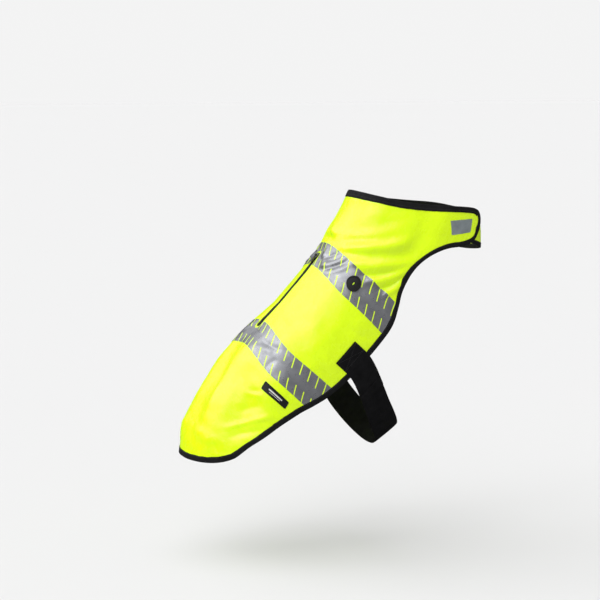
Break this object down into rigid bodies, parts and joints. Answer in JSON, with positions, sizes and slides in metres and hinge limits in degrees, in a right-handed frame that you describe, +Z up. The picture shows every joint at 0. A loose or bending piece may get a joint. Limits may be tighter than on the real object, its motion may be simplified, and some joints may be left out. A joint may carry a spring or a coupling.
{
  "type": "dog safety vest",
  "caption": "Worn reflective safety vest for a dog: back cape with chest laps, bound edges, reflective tapes, back zip with hinged pull, belly strap.",
  "frame": {"origin": "inner face of the cloth on the centre back at the withers, 120 mm down from the neck edge, where the wearer holds the vest up", "axes": "+X forward, +Z up, -Y the wearer's right side; the plane y=0 is the wearer's middle plane"},
  "size_m": [0.5654, 0.2356, 0.4612],
  "materials": {
    "fluorescent_cloth": "close plain-woven fluorescent yellow polyester, soft sheen",
    "black_binding": "ribbed black folded binding tape",
    "reflective_tape": "segmented silver-grey reflective film on cloth, fluorescent gaps",
    "grey_tape": "smooth grey reflective strip",
    "black_coil": "black nylon coil on woven zip tape",
    "black_metal": "black painted die-cast metal",
    "black_webbing": "flat black woven webbing",
    "black_rubber": "moulded matt black rubber"
  },
  "bodies": {
    "garment": {"back_panel": "fluorescent_cloth", "neck_binding": "black_binding", "edge_binding": "black_binding", "upper_tape": "reflective_tape", "lower_tape": "reflective_tape", "chest_tape": "grey_tape", "zip_chain": "black_coil", "zip_slider": "black_metal", "strap_tab": "black_webbing", "belly_strap": "black_webbing", "badge": "black_rubber", "label": "black_rubber"},
    "pull_tab": {"zip_pull": "black_metal"}
  },
  "joints": [
    {"name": "pull_hinge", "type": "hinge", "parent": "garment", "child": "pull_tab", "pos_m": [-0.01193, 0, -0.00737], "axis": [0, 1, 0], "range_deg": [0, 150]}
  ]
}
